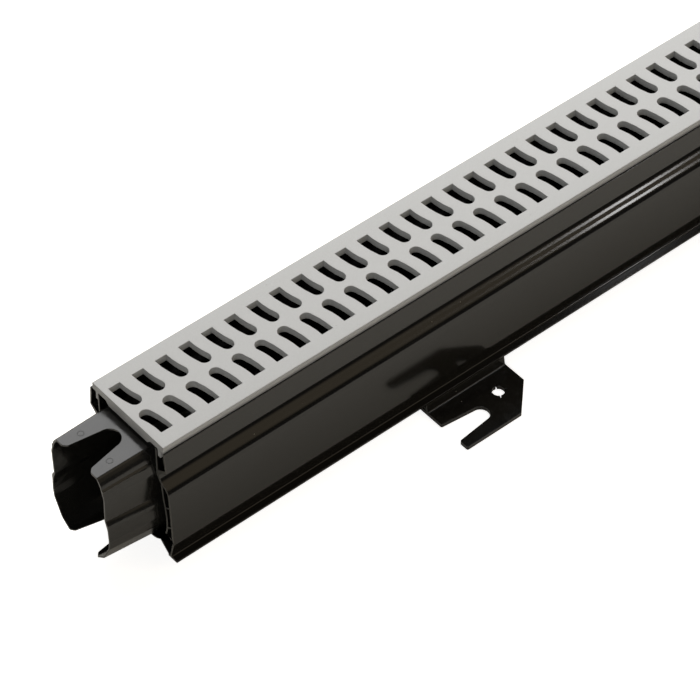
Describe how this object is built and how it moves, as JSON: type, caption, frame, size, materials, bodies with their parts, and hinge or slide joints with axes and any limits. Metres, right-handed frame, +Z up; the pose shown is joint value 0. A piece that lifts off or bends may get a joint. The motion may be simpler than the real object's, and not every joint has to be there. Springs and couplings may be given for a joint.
{
  "type": "channel drain",
  "caption": "Narrow twin-wall plastic channel drain with a snap-in slotted grate, an end coupling sleeve and slide-on anchor brackets.",
  "frame": {"origin": "on the ground under the middle of the channel's near end", "axes": "X along the channel from its near end, Y across it towards the side without stake slots, Z up"},
  "size_m": [0.9527, 0.1291, 0.1078],
  "materials": {
    "black_satin_plastic": "satin, as extruded",
    "grey_matte_plastic": "matte, as moulded",
    "black_gloss_plastic": "glossy, as moulded",
    "black_bracket_plastic": "semi-gloss, as moulded"
  },
  "bodies": {
    "channel": {"channel_body": "black_satin_plastic", "grate": "grey_matte_plastic"},
    "sleeve": {"coupling_sleeve": "black_gloss_plastic"},
    "bracket_1": {"anchor_bracket_1": "black_bracket_plastic"},
    "bracket_2": {"anchor_bracket_2": "black_bracket_plastic"}
  },
  "joints": [
    {"name": "sleeve_slide", "type": "slide", "parent": "channel", "child": "sleeve", "axis": [1, 0, 0], "range_m": [-0.025, 0.037]},
    {"name": "bracket_1_slide", "type": "slide", "parent": "channel", "child": "bracket_1", "axis": [1, 0, 0], "range_m": [-0.19, 0.18]},
    {"name": "bracket_2_slide", "type": "slide", "parent": "channel", "child": "bracket_2", "axis": [1, 0, 0], "range_m": [-0.18, 0.19]}
  ]
}
